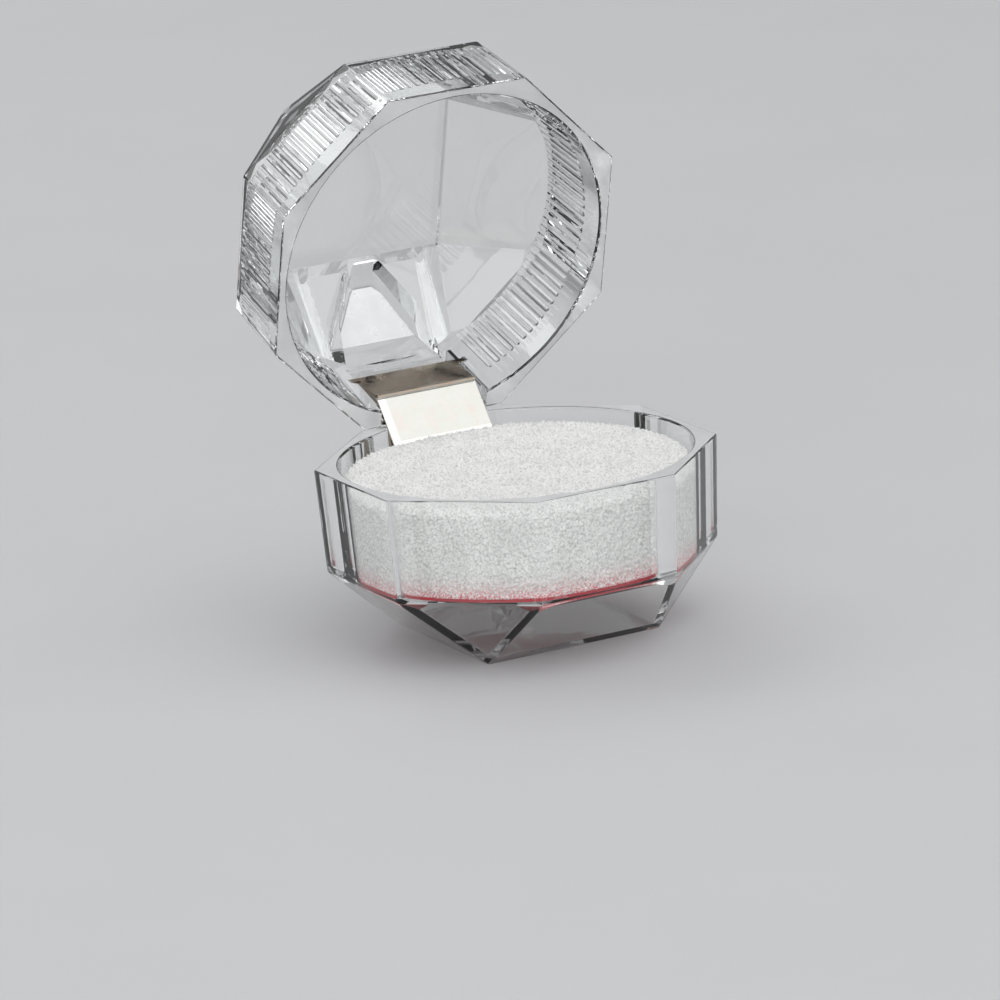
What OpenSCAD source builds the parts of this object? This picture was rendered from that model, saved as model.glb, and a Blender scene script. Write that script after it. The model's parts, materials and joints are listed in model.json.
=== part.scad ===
// Ring display box: two clear faceted shells, a foam pad on a coloured card
// and a small sheet-metal hinge. Millimetres, +Z up, origin at the middle of
// the square foot, hinge at the back (+Y). The lid is drawn standing open.

/* [Clear shells] */
// Width of both shells across the flats, at the rims
body_w = 38; // [36:0.5:46]
// Height of the base, from foot to rim
base_h = 18.35; // [17:0.25:24]
// Height of the lid, from rim to table
lid_h = 18.35; // [17:0.25:24]
// Height of the base's eight upright walls
base_wall_h = 10.7; // [10:0.1:13]
// Height of the lid's eight upright walls
lid_wall_h = 10.1; // [10:0.1:13]
// How far an upright wall leans in, from the rim to its facet
wall_lean = 0.53; // [0.2:0.01:0.8]
// Side of the square foot and of the square table
foot_w = 19.6; // [16:0.2:24]
// Least thickness of the wall at the rim
rim_wall = 1; // [0.9:0.05:1.6]
// How far the round well narrows, in radius, over the upright walls
well_taper = 0.5; // [0.2:0.05:0.8]
// Thickness of the base's facets and foot
base_facet_t = 1.35; // [1:0.05:1.8]
// Thickness of the lid's facets and table
lid_facet_t = 1.2; // [1:0.05:1.8]
// How much further in the lid's hollow facets end at its table
lid_hollow_step = 0.9; // [0:0.1:1.2]
// Chamfer on the inner edge of both rims
rim_chamfer = 0.25; // [0.1:0.05:0.4]
// Gap between the rims when the box is shut
rim_gap = 0.15; // [0.1:0.05:0.3]

/* [Foam and card] */
// Thickness of the coloured card under the foam
card_t = 0.3; // [0.2:0.05:0.6]
// Gap between the well and the card or the foam
soft_gap = 0.2; // [0.1:0.05:0.4]
// How far the foam's edge stays below the rim
foam_drop = 1.3; // [0.8:0.1:3]
// Rise of the foam's crown above its edge
foam_crown = 0.9; // [0.3:0.1:1.2]
// Radius of the foam's rounded top edge
foam_round = 0.8; // [0.4:0.1:1.5]

/* [Hinge] */
// How far the lid stands open, from shut
open_angle = 73.6; // [60:0.2:80]
// Thickness of the leaves' sheet metal
sheet_t = 0.25; // [0.2:0.01:0.3]
// Width of the lid's leaf over its ears
leaf_w = 11.4; // [9:0.1:12]
// Radius of the hinge pin
pin_r = 0.25; // [0.2:0.01:0.27]
// Distance from the pin's axis to the outer face of the back wall
pin_inset = 0.6; // [0.5:0.02:0.7]
// Height of the pin's axis above the base's rim
pin_rise = 0.77; // [0.7:0.01:0.9]
// Radius of the eyes round the pin
eye_r = 0.5; // [0.45:0.01:0.55]
// Running clearance of the pin in the lid leaf's eyes
pin_clear = 0.03; // [0.02:0.01:0.05]
// Length of the stay plate, from its bead to its free edge
stay_l = 5.85; // [5:0.05:6]
// Thickness of the stay plate
stay_t = 0.2; // [0.15:0.01:0.22]
// Radius of the bead along the stay plate's upper edge
bead_r = 0.2; // [0.16:0.01:0.22]
// Distance from the pin's axis forward to the bead, when shut
bead_front = 1.82; // [1.7:0.02:1.95]
// Distance from the pin's axis up to the bead, when shut
bead_up = 1.5; // [1.4:0.02:1.7]
// Height of the lid leaf's web above the bead
lid_web_h = 4.42; // [3.5:0.1:4.6]
// Height of the base leaf's web
base_web_h = 4.1; // [3:0.1:4.5]
// Width of the holding tab on each side of a leaf
tab_w = 1.2; // [0.8:0.1:1.3]
// Height of the holding tabs
tab_h = 0.6; // [0.4:0.1:0.8]

/* [Hinge housing] */
// Depth below the rim at which the leaf's pocket ends
pocket_h = 8.8; // [8.4:0.1:9.2]
// Depth below the rim at which the housing's sloping face starts
housing_h = 13.4; // [12.5:0.1:14]
// Width of the hollow at the top of the sloping face
housing_tip_w = 2.2; // [1.5:0.1:3]
// Radius of the round rails beside the housing, at their thick end
rail_r = 1.2; // [1:0.05:1.3]
// Radius of the rails at their thin end
rail_tip_r = 0.5; // [0.4:0.05:0.9]
// Depth below the rim at which the rails end
rail_h = 12.8; // [12.4:0.1:13.2]

/* [Lid's flutes] */
// Angle from one flute to the next
flute_pitch = 3; // [2.5:0.5:5]
// Width of a flute
flute_w = 0.5; // [0.3:0.05:0.6]
// How far a flute stands out from the wall
flute_t = 0.2; // [0.1:0.05:0.25]
// Depth below the rim at which the flutes start
flute_h = 2.8; // [2:0.1:4]

/* [Hidden] */
$fn = 96;

half_w = body_w / 2;
well_r = half_w - rim_wall;
lid_rim_z = base_h + rim_gap;
shut_h = lid_rim_z + lid_h;
top_overcut = 0.01;

// Places in the hinge, in the Y-Z plane with the box shut
pin_y = half_w - pin_inset;
pin_z = base_h + pin_rise;
bead_y = pin_y - bead_front;
bead_z = pin_z + bead_up;
stay_swing = open_angle / 2;

// Clearances in the hinge: between the leaves' ears, between the open stay
// plate and the ears it stops at, behind and beside the leaves, round the tabs,
// and between the lid's heel and the base's rim
leaf_gap = 0.05;
stop_gap = 0.06;
seat_gap = 0.15;
slot_clear = 0.05;
heel_gap = 0.1;

// The leaves: width of the base's leaf inside the lid's ears, the stop plane's
// distance from the stay plate's middle, the base's web, the lid's web, and the
// roll round the bead with the room it leaves the plate on each side
base_leaf_w = leaf_w - 2 * (sheet_t + leaf_gap);
stop_off = stay_t / 2 + stop_gap;
base_web_drop = 2.4;
base_web_y = bead_y + 0.5;
base_web_z = base_h - base_web_drop - base_web_h;
lid_web_z = bead_z + lid_web_h;
roll_t = 0.17;
roll_in = bead_r + pin_clear;
roll_out = roll_in + roll_t;
roll_room = 34;

// The ears' outlines: where they start inside their web, the width of the base
// ear's neck and how far it starts below the rim, the cut corner and the
// height at which the base ear reaches its full depth, and for the lid's ear
// its flat top, its cut corner and the drop to its full depth
ear_inset = 0.1;
ear_neck = 0.45;
ear_neck_drop = 0.3;
base_ear_cut = [0.3, 0.4];
base_ear_rise = 1.2;
lid_ear_flat = 0.4;
lid_ear_cut = [0.2, 1.6];
lid_ear_drop = 2.6;

// The pin's fit in the base leaf's eyes, and its heads
pin_fit = 0.01;
head_t = 0.2;
head_r = 0.42;

// The pocket that a leaf sits in with room at its sides and a wall behind it,
// and the lid's notch for the eyes
pocket_room = 0.25;
pocket_wall = 0.9;
notch_clear = 0.2;
pocket_w = leaf_w + 2 * pocket_room;
pocket_y = half_w - pocket_wall;
leaf_back = pocket_y - seat_gap;
notch_w = pocket_w + 2 * notch_clear;
notch_z = pin_z + eye_r + notch_clear;

// Foam and card, and the foam's notch in front of the swinging stay plate
card_r = well_r - well_taper - soft_gap;
foam_z = base_h - base_wall_h + card_t;
foam_edge_z = base_h - foam_drop;
foam_top_r = well_r - 1.5 * soft_gap;
foam_notch_gap = 1.13;
foam_notch_y = bead_y - foam_notch_gap;

// The housing behind the pocket: the steps of its hollow in from the pocket's
// sides and from its back face, its slope as run over rise, its wall, and
// where the cuts for it start inside the well
housing_in = [0.45, 1.35];
housing_step = [0.7, 1.35];
housing_slope = 1.05;
housing_t = 1;
housing_front = 9;

// The rails stand in line with the leaves' tabs: how far their ends stay inside
// the back wall, their slope as run over rise, and how far the web between them
// stands out over their middle
rail_x = leaf_w / 2 + tab_w;
rail_inset = 1.5;
rail_slope = 1.303;
rail_web = 0.3;

// The flutes stay off the leaf's tabs, and reach this far into the wall
flute_room = 0.3;
flute_root = 0.3;
flute_hub = 12;

// A slab of thickness w across X, centred, from an outline in the Y-Z plane
module across(w) {
    rotate([90, 0, 90]) translate([0, 0, -w / 2]) linear_extrude(w) children();
}

// Outline of a shell between two opposite walls, foot down and rim up at the
// height h: foot, sloping facets and upright walls. Moved in by t.
module side_outline(h, wall_h, foot, t) {
    facet_h = h - wall_h;
    edge = half_w - wall_lean;
    facet_run = (edge - foot) / facet_h;
    wall_run = wall_lean / wall_h;
    foot_x = foot - t * sqrt(1 + pow(facet_run, 2));
    rim_x = half_w - t * sqrt(1 + pow(wall_run, 2));
    bend_z = (rim_x - wall_run * h - foot_x) / (facet_run - wall_run);
    bend_x = foot_x + facet_run * bend_z;
    polygon([[-foot_x, 0], [foot_x, 0], [bend_x, bend_z], [rim_x, h], [-rim_x, h], [-bend_x, bend_z]]);
}

// The faceted outside of a shell: eight upright walls, four sloping sides and
// four corner facets, as the common part of four outlines. Moved in by t, and
// by the step more at the foot.
module crystal(h, wall_h, t = 0, step = 0) {
    intersection_for(i = [0 : 3])
        rotate(45 * i) across(2 * body_w)
            side_outline(h, wall_h, (foot_w / 2 - step) * (i % 2 == 0 ? 1 : sqrt(2)), t);
}

// Radius of the round well's wall at a depth below the rim
function well_at(depth, wall_h) = well_r - well_taper * depth / wall_h;

// The inside of a shell: the round well with its narrowing sides, the hollow
// facets that the well's wall cuts off below it, and the chamfer at the rim
module well(h, wall_h, facet_t, step) {
    top_r = well_at(rim_chamfer, wall_h);
    intersection() {
        rotate_extrude()
            polygon([[0, 0], [well_at(h, wall_h), 0], [top_r, h - rim_chamfer],
                     [top_r + rim_chamfer + top_overcut, h + top_overcut], [0, h + top_overcut]]);
        union() {
            translate([-half_w, -half_w, h - wall_h]) cube([body_w, body_w, wall_h + 1]);
            intersection() {
                crystal(h, wall_h, facet_t, step);
                translate([-half_w, -half_w, facet_t])
                    cube([body_w, body_w, h - wall_h - facet_t + top_overcut]);
            }
        }
    }
}

// The hollow that tapers behind the leaf's pocket, grown by t for its wall: the
// common part of its outline from the side and its outline from the front
module housing_core(h, floor_z, t = 0) {
    half = pocket_w / 2 + t;
    top_y = pocket_y - housing_step[0] + t;
    bend_y = pocket_y - housing_step[1] + t;
    tip_y = bend_y - (h - housing_h) * housing_slope;
    top_z = h - pocket_h + top_overcut;
    bend_z = h - housing_h - t;
    front = [[housing_tip_w / 2 + t, floor_z], [half - housing_in[1], bend_z],
             [half - housing_in[0], top_z]];
    intersection() {
        across(body_w)
            polygon([[housing_front, floor_z], [tip_y, floor_z], [bend_y, bend_z],
                     [top_y, top_z], [housing_front, top_z]]);
        rotate([90, 0, 0]) translate([0, 0, -half_w]) linear_extrude(half_w)
            polygon([for (p = front) p, for (i = [2 : -1 : 0]) [-front[i][0], front[i][1]]]);
    }
}

// The two round rails beside the housing, and the web that joins them
module back_rails(h) {
    length = (h - rail_h + 1) * sqrt(1 + pow(rail_slope, 2));
    translate([0, half_w - rail_inset, h - rail_h]) rotate([180 - atan(rail_slope), 0, 0]) {
        for (side = [-1, 1]) translate([side * rail_x, 0, 0]) {
            cylinder(h = length, r1 = rail_r, r2 = rail_tip_r);
            sphere(r = rail_r);
        }
        translate([-rail_x, -rail_web, 0]) cube([2 * rail_x, half_w / 2, length]);
    }
}

// The flutes on the well's wall, all round but for the hinge's place
module flutes(h, wall_h) {
    half_a = asin(flute_w / 2 / well_r);
    last = floor((180 - asin((rail_x + flute_room) / well_r)) / flute_pitch - 0.5);
    depths = [flute_h - flute_t, flute_h, wall_h];
    intersection() {
        rotate_extrude()
            polygon([[well_at(depths[0], wall_h) + flute_root, h - depths[0]],
                     [well_at(depths[0], wall_h), h - depths[0]],
                     [well_at(depths[1], wall_h) - flute_t, h - depths[1]],
                     [well_at(depths[2], wall_h) - flute_t, h - depths[2]],
                     [well_at(depths[2], wall_h) + flute_root, h - depths[2]]]);
        linear_extrude(h)
            polygon([for (i = [-last : last], k = [0 : 3])
                     let (a = i * flute_pitch + (k < 2 ? -half_a : half_a),
                          r = k == 1 || k == 2 ? half_w : flute_hub)
                     [r * sin(a), -r * cos(a)]]);
    }
}

// The pocket for a leaf, and the slots for its two tabs
module leaf_seat(h, tab_y, tab_z) {
    slot_w = leaf_w + 2 * (tab_w + slot_clear);
    slot_t = sheet_t + 2 * slot_clear;
    translate([-pocket_w / 2, housing_front, h - pocket_h])
        cube([pocket_w, pocket_y - housing_front, pocket_h + 1]);
    translate([-slot_w / 2, tab_y - slot_t / 2, tab_z - slot_clear])
        cube([slot_w, slot_t, tab_h + 2 * slot_clear]);
}

// One clear shell, foot down: faceted outside, round well, hollow facets
module clear_shell(h, wall_h, facet_t, tab_y, tab_z, step = 0) {
    difference() {
        union() {
            crystal(h, wall_h);
            intersection() {
                union() {
                    housing_core(h, 0, housing_t);
                    back_rails(h);
                }
                translate([-half_w, 0, 0]) cube([body_w, half_w, h - wall_h + 1]);
            }
        }
        well(h, wall_h, facet_t, step);
        housing_core(h, facet_t);
        leaf_seat(h, tab_y, tab_z);
    }
}

// Turns what is drawn with the box shut to where the open lid stands
module lid_open() {
    translate([0, pin_y, pin_z]) rotate([-open_angle, 0, 0]) translate([0, -pin_y, -pin_z]) children();
}

// What lies behind the stay plate when the lid is open, in the Y-Z plane, as
// the lid's ears meet it and as the base's ears meet it
module behind_stay_lid() {
    translate([bead_y, bead_z]) rotate(-90 + stay_swing) translate([-stay_l, stop_off]) square(4 * stay_l);
}

module behind_stay_base() {
    translate([pin_y, pin_z]) rotate(-open_angle) translate([-pin_y, -pin_z]) behind_stay_lid();
}

module base_shell() {
    color([0.9, 0.93, 0.95, 0.35])
        clear_shell(base_h, base_wall_h, base_facet_t, base_web_y, base_web_z);
}

module base_card() {
    color("crimson")
        translate([0, 0, base_h - base_wall_h]) cylinder(h = card_t, r = card_r);
}

module foam_pad() {
    round_z = foam_edge_z - foam_round;
    flat_r = foam_top_r - foam_round;
    crown_r = (pow(foam_top_r, 2) + pow(foam_crown, 2)) / (2 * foam_crown);
    color("white") difference() {
        rotate_extrude() intersection() {
            union() {
                polygon([[0, foam_z], [card_r, foam_z], [foam_top_r, round_z], [0, round_z]]);
                translate([0, round_z - 1]) square([flat_r, foam_round + 1]);
                translate([flat_r, round_z]) circle(r = foam_round);
                translate([0, foam_edge_z + foam_crown - crown_r]) intersection() {
                    circle(r = crown_r, $fn = 720);
                    translate([0, crown_r - foam_crown - 0.05]) square([flat_r, 3]);
                }
            }
            square([foam_top_r, base_h + 2]);
        }
        translate([-notch_w / 2, foam_notch_y, 0]) cube([notch_w, half_w, base_h + 3]);
    }
}

// A point just inside an eye's edge, at the angle a from straight up
function in_eye(a) = [pin_y + 0.95 * eye_r * sin(a), pin_z + 0.95 * eye_r * cos(a)];

// Outline of the base leaf's ears, from the web back and up to the eye
module base_ear() {
    neck_z = base_h - ear_neck_drop;
    intersection() {
        union() {
            polygon([[base_web_y, base_web_z + ear_inset],
                     [leaf_back - base_ear_cut[0], base_web_z + base_ear_cut[1]],
                     [leaf_back, base_web_z + base_ear_rise], [leaf_back, neck_z],
                     in_eye(210), in_eye(270), [leaf_back - ear_neck, neck_z],
                     [base_web_y, base_web_z + base_web_h - ear_inset]]);
            translate([pin_y, pin_z]) circle(r = eye_r);
        }
        behind_stay_base();
    }
}

// Outline of the lid leaf's ears, from the web back and down to the eye
module lid_ear() {
    intersection() {
        union() {
            polygon([[bead_y, lid_web_z - ear_inset], [bead_y + lid_ear_flat, lid_web_z - ear_inset],
                     [leaf_back - lid_ear_cut[0], lid_web_z - lid_ear_cut[1]],
                     [leaf_back, lid_web_z - lid_ear_drop], [leaf_back, notch_z - slot_clear],
                     in_eye(45), [pin_y, pin_z], [bead_y, bead_z]]);
            translate([pin_y, pin_z]) circle(r = eye_r);
        }
        behind_stay_lid();
    }
}

// A leaf's web, drawn from z up to the height h, with its tabs at tab_z
module leaf_web(w, y, z, h, tab_z) {
    translate([-w / 2, y - sheet_t / 2, z]) cube([w, sheet_t, h]);
    translate([-leaf_w / 2 - tab_w, y - sheet_t / 2, tab_z]) cube([leaf_w + 2 * tab_w, sheet_t, tab_h]);
}

module both_ears(w) {
    for (side = [-1, 1]) translate([side * (w - sheet_t) / 2, 0, 0]) across(sheet_t) children();
}

module base_leaf() {
    color("silver") difference() {
        union() {
            leaf_web(base_leaf_w, base_web_y, base_web_z, base_web_h, base_web_z);
            both_ears(base_leaf_w) base_ear();
        }
        across(leaf_w) translate([pin_y, pin_z]) circle(r = pin_r + pin_fit);
    }
}

module hinge_pin() {
    color("lightgrey") {
        across(leaf_w + 2 * leaf_gap) translate([pin_y, pin_z]) circle(r = pin_r);
        for (side = [-1, 1])
            translate([side * (leaf_w / 2 + leaf_gap + head_t / 2), 0, 0])
                across(head_t) translate([pin_y, pin_z]) circle(r = head_r);
    }
}

module lid_shell() {
    color([0.9, 0.93, 0.95, 0.35]) lid_open() {
        difference() {
            translate([0, 0, shut_h]) mirror([0, 0, 1])
                clear_shell(lid_h, lid_wall_h, lid_facet_t, bead_y, shut_h - lid_web_z, lid_hollow_step);
            // Notch for the eyes and the pin's heads
            translate([-notch_w / 2, bead_y, lid_rim_z - 1]) cube([notch_w, half_w, notch_z - lid_rim_z + 1]);
            // Heel, round about the pin so that it clears the base's rim
            difference() {
                translate([-half_w, pin_y, lid_rim_z - 1]) cube([body_w, half_w, pin_z - lid_rim_z + 1]);
                across(body_w + 2) translate([pin_y, pin_z]) circle(r = pin_rise - heel_gap);
            }
        }
        translate([0, 0, shut_h]) mirror([0, 0, 1]) flutes(lid_h, lid_wall_h);
    }
}

module lid_leaf() {
    color("silver") lid_open() difference() {
        union() {
            leaf_web(leaf_w, bead_y, bead_z + roll_in, lid_web_h - roll_in, lid_web_z - tab_h);
            across(leaf_w) translate([bead_y, bead_z]) circle(r = roll_out);
            both_ears(leaf_w) lid_ear();
        }
        // Bore of the rolled edge, open below for the stay plate's swing
        across(leaf_w + 1) translate([bead_y, bead_z]) circle(r = roll_in);
        across(leaf_w + 1) translate([bead_y, bead_z])
            polygon([[0, 0], for (a = [-roll_room, 0, stay_swing, stay_swing + roll_room])
                             [sin(a), -cos(a)]]);
        across(leaf_w + 1) translate([pin_y, pin_z]) circle(r = pin_r + pin_clear);
    }
}

module stay_plate() {
    color("gainsboro") lid_open() translate([0, bead_y, bead_z]) rotate([stay_swing, 0, 0]) {
        translate([-leaf_w / 2, -stay_t / 2, -stay_l]) cube([leaf_w, stay_t, stay_l]);
        across(leaf_w) circle(r = bead_r);
    }
}

base_shell();
base_card();
foam_pad();
base_leaf();
hinge_pin();
lid_shell();
lid_leaf();
stay_plate();
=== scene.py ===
"""Looks of a clear ring display box: polished and frosted plastic, foam, card, hinge sheet and a studio."""

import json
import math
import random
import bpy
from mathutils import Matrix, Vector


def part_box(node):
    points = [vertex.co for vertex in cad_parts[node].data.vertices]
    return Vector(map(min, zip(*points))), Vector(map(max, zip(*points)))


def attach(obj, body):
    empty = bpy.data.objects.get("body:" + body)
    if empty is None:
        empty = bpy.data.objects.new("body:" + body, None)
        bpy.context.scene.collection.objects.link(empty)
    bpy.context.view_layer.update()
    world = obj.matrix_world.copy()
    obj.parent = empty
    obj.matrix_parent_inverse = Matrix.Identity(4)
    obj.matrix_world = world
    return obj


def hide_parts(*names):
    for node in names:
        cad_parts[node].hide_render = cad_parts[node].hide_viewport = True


bl_info = {
    "name": "Clear Ring Box",
    "version": (1, 0, 0),
    "blender": (4, 5, 0),
    "location": "3D Viewport > Sidebar > Ring Box",
    "description": "Builds a faceted ring box: clear shells, foam, card, hinge finish and a studio",
    "category": "Object",
}

import bmesh
import bpy
import numpy as np
from mathutils import Matrix, Vector, noise

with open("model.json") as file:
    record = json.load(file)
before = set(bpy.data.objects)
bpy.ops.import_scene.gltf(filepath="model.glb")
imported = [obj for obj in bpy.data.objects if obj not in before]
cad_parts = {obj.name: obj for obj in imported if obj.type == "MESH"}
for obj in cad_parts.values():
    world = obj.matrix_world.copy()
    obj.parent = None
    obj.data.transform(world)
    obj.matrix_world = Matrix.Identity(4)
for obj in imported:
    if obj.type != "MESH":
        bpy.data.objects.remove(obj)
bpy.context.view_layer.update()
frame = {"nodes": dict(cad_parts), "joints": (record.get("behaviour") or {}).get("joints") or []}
MM = 0.001


# ---------------------------------------------------------------- settings


def length(name, description, mm):
    """A size of the box, given in millimetres"""
    return bpy.props.FloatProperty(
        name=name, description=description, default=mm * MM, min=0, precision=5,
        unit="LENGTH", subtype="DISTANCE",
    )


def colour(name, description, rgb):
    return bpy.props.FloatVectorProperty(
        name=name, description=description, subtype="COLOR", size=3, min=0, max=1, default=rgb,
    )


class ShellSettings(bpy.types.PropertyGroup):
    """Sizes and finish of the two clear shells"""

    half_w: length("Half width", "From the middle to a wall's rim", 19.0)
    base_h: length("Base height", "From the foot to the rim", 18.35)
    lid_h: length("Lid height", "From the rim to the table", 18.35)
    base_wall_h: length("Base walls", "Height of the base's upright walls", 10.7)
    lid_wall_h: length("Lid walls", "Height of the lid's upright walls", 10.1)
    wall_lean: length("Wall lean", "How far a wall leans in at its facet", 0.53)
    foot_w: length("Foot", "Side of the foot and of the table", 19.6)
    rim_wall: length("Rim wall", "Least thickness of the wall at the rim", 1.0)
    well_taper: length("Well taper", "How far the round well narrows", 0.5)
    base_facet_t: length("Base facets", "Thickness of the base's facets", 1.35)
    lid_facet_t: length("Lid facets", "Thickness of the lid's facets", 1.2)
    lid_hollow_step: length("Lid's hollow step", "How much further in it ends at the lid's table", 0.9)
    rim_chamfer: length("Rim chamfer", "Chamfer on the rims' inner edge", 0.18)
    edge_round: length("Edge round", "Rounding of the moulded outer edges", 0.17)
    inner_round: length("Inner round", "Rounding of the hollow facets' edges", 0.45)
    flute_r: length("Flute radius", "Radius of the rods on the lid's wall", 0.40)
    flute_out: length("Flute height", "How far a rod stands out from the wall", 0.17)
    flute_start: length("Flute start", "Depth below the rim at which the rods start", 2.8)
    tint: colour("Tint", "Colour of the clear plastic", (0.965, 0.98, 0.975))
    ior: bpy.props.FloatProperty(
        name="Refraction", description="Index of refraction of polystyrene", default=1.59, min=1.3, max=1.8,
    )
    rim_frost: bpy.props.FloatProperty(
        name="Rim frost", description="Roughness of the ground faces", default=0.42, min=0, max=1,
    )


class SoftSettings(bpy.types.PropertyGroup):
    """Sizes and colours of the foam pad and the card under it"""

    foam_colour: colour("Foam", "Colour of the foam", (0.86, 0.856, 0.842))
    foam_cell: length("Foam cell", "Distance from grain to grain", 0.30)
    foam_grain: length("Foam grain", "Height of an even grain", 0.34)
    foam_voxel: length("Foam mesh step", "Size of a step in the foam's mesh", 0.15)
    pink_glow_reach: length("Pink reach", "How far up the foam the card shines through", 3.2)
    card_colour: colour("Card", "Colour of the card", (0.46, 0.008, 0.022))


class HingeSettings(bpy.types.PropertyGroup):
    """Colours and finish of the hinge's sheet metal"""

    leaf_colour: colour("Leaf", "Colour of the leaves' sheet", (0.34, 0.285, 0.24))
    stay_colour: colour("Stay plate", "Colour of the stay plate's sheet", (0.62, 0.61, 0.58))
    pin_colour: colour("Pin", "Colour of the drawn wire", (0.62, 0.61, 0.60))


class StudioSettings(bpy.types.PropertyGroup):
    """The camera's place and the studio's light"""

    azimuth: bpy.props.FloatProperty(
        name="Azimuth", description="Camera's turn round the box from straight ahead",
        default=math.radians(-27.126), subtype="ANGLE",
    )
    elevation: bpy.props.FloatProperty(
        name="Elevation", description="Camera's height as an angle", default=math.radians(14.936),
        subtype="ANGLE",
    )
    roll: bpy.props.FloatProperty(
        name="Roll", description="Camera's turn about its own line of sight", default=math.radians(-4.066),
        subtype="ANGLE",
    )
    distance: bpy.props.FloatProperty(
        name="Distance", description="From the camera to the point it turns about", default=0.704135,
        unit="LENGTH", subtype="DISTANCE",
    )
    focal_px: bpy.props.FloatProperty(
        name="Focal length", description="Focal length in pixels of the square picture", default=6947.8,
    )
    floor_colour: colour("Floor", "Colour of the floor", (0.60, 0.60, 0.61))


# ---------------------------------------------------------------- materials

# Most of a noise's values lie between these
NOISE_LOW, NOISE_HIGH = 0.35, 0.65
# What is left of the lamps' light behind clear, ground and frosted plastic
CLEAR_FILM, GROUND_FILM, FROSTED_FILM = (0.95, 0.955, 0.955), (0.8, 0.8, 0.8), (0.85, 0.85, 0.85)
# Share of the light that goes through ground and frosted plastic, and their tones
GROUND_PASS, FROSTED_PASS = 0.42, 0.22
WHITE_TONE, GROUND_TONE, FROSTED_TONE = (0.93, 0.935, 0.94), (0.86, 0.865, 0.87), (0.84, 0.85, 0.86)
# How far the ground faces' roughness goes below and above its setting
GROUND_SPREAD = (-0.1, 0.14)
# The foam's grains and painted gap shade beside its colour, its cells' scale, and the card's painted pink glow
# at the foot
FOAM_LIGHT, FOAM_SHADE, FOAM_SCALE = 1.1, 0.68, 1.3
PINK_GLOW, PINK_GLOW_FALL = (0.66, 0.03, 0.07), 2.4
CARD_SHADE = 0.55
# A sheet's lip with a painted highlight: where it starts and ends to fade, in millimetres from the left edge
# and from the foot, and its tone
LIP_SIDE, LIP_FOOT, LIP_HIGHLIGHT = (0.75, 0.95), (0.6, 0.72), 1.22
WIRE_DIRT = (0.25, 0.23, 0.2)


def rgba(colour):
    return (*colour, 1.0)


def toned(colour, share):
    """A colour made lighter or darker"""
    return rgba([min(1.0, c * share) for c in colour])


class Finish:
    """A material being built: adds nodes with their inputs set, and links them"""

    def __init__(self, name):
        self.material = bpy.data.materials.new(name)
        self.material.use_nodes = True
        self.tree = self.material.node_tree
        self.tree.nodes.clear()
        self.out = self.tree.nodes.new("ShaderNodeOutputMaterial")
        self.place = self.tree.nodes.new("ShaderNodeTexCoord").outputs["Object"]

    def add(self, kind, options=None, **inputs):
        node = self.tree.nodes.new("ShaderNode" + kind)
        for key, value in (options or {}).items():
            setattr(node, key, value)
        for key, value in inputs.items():
            self.feed(node.inputs[key.replace("_", " ")], value)
        return node

    def feed(self, socket, value):
        if isinstance(value, bpy.types.NodeSocket):
            self.tree.links.new(value, socket)
        else:
            socket.default_value = value

    def shader(self, colour, **inputs):
        node = self.add("BsdfPrincipled", **inputs)
        self.feed(node.inputs["Base Color"], colour)
        self.feed(self.out.inputs["Surface"], node.outputs[0])
        return node

    def grain(self, size, detail, stretch=(1, 1, 1)):
        """Noise with features of about the given size in metres"""
        place = self.place
        if stretch != (1, 1, 1):
            node = self.add("Mapping", Scale=stretch)
            self.feed(node.inputs["Vector"], place)
            place = node.outputs[0]
        return self.add("TexNoise", Vector=place, Scale=1 / size, Detail=detail).outputs["Fac"]

    def band(self, value, low, high, from_low=NOISE_LOW, from_high=NOISE_HIGH):
        """Maps a value, such as a noise's, to the range from low to high"""
        node = self.add("MapRange", Value=value)
        node.inputs["From Min"].default_value = from_low
        node.inputs["From Max"].default_value = from_high
        node.inputs["To Min"].default_value = low
        node.inputs["To Max"].default_value = high
        return node.outputs[0]

    def blend(self, share, first, second):
        """Colour that goes from first to second with share"""
        node = self.add("Mix", {"data_type": "RGBA"})
        self.feed(node.inputs["Factor"], share)
        self.feed(node.inputs["A"], first)
        self.feed(node.inputs["B"], second)
        return node.outputs["Result"]

    def maths(self, operation, first, second):
        node = self.add("Math", {"operation": operation})
        self.feed(node.inputs[0], first)
        self.feed(node.inputs[1], second)
        return node.outputs[0]

    def relief(self, height, depth, strength, under=None):
        """A bump of the given depth in metres, over another one"""
        node = self.add("Bump", Height=height, Distance=depth, Strength=strength)
        if under is not None:
            self.feed(node.inputs["Normal"], under)
        return node.outputs[0]

    def let_lamps_in(self, shader, colour):
        """Puts a clear film in for rays from lamps, so that they reach what is inside"""
        path = self.add("LightPath")
        film = self.add("BsdfTransparent", Color=rgba(colour))
        mix = self.add("MixShader")
        self.feed(mix.inputs[0], path.outputs["Is Shadow Ray"])
        self.feed(mix.inputs[1], shader.outputs[0])
        self.feed(mix.inputs[2], film.outputs[0])
        self.feed(self.out.inputs["Surface"], mix.outputs[0])


def polished_plastic(settings):
    """Clear polystyrene off a polished mould: faint flow ripples, hairline scratches, uneven gloss"""
    f = Finish("polished_plastic")
    ripple = f.grain(2.4 * MM, 1.0)
    scratch = f.grain(0.10 * MM, 2.0, (1.0, 0.06, 0.25))
    rough = f.band(f.grain(1.1 * MM, 4.0), 0.004, 0.035)
    normal = f.relief(ripple, 0.02 * MM, 0.35)
    normal = f.relief(scratch, 0.0006 * MM, 0.25, normal)
    shader = f.shader(
        rgba(settings.tint), Roughness=rough, IOR=settings.ior, Normal=normal, Transmission_Weight=1.0,
    )
    f.let_lamps_in(shader, CLEAR_FILM)
    return f.material


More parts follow.
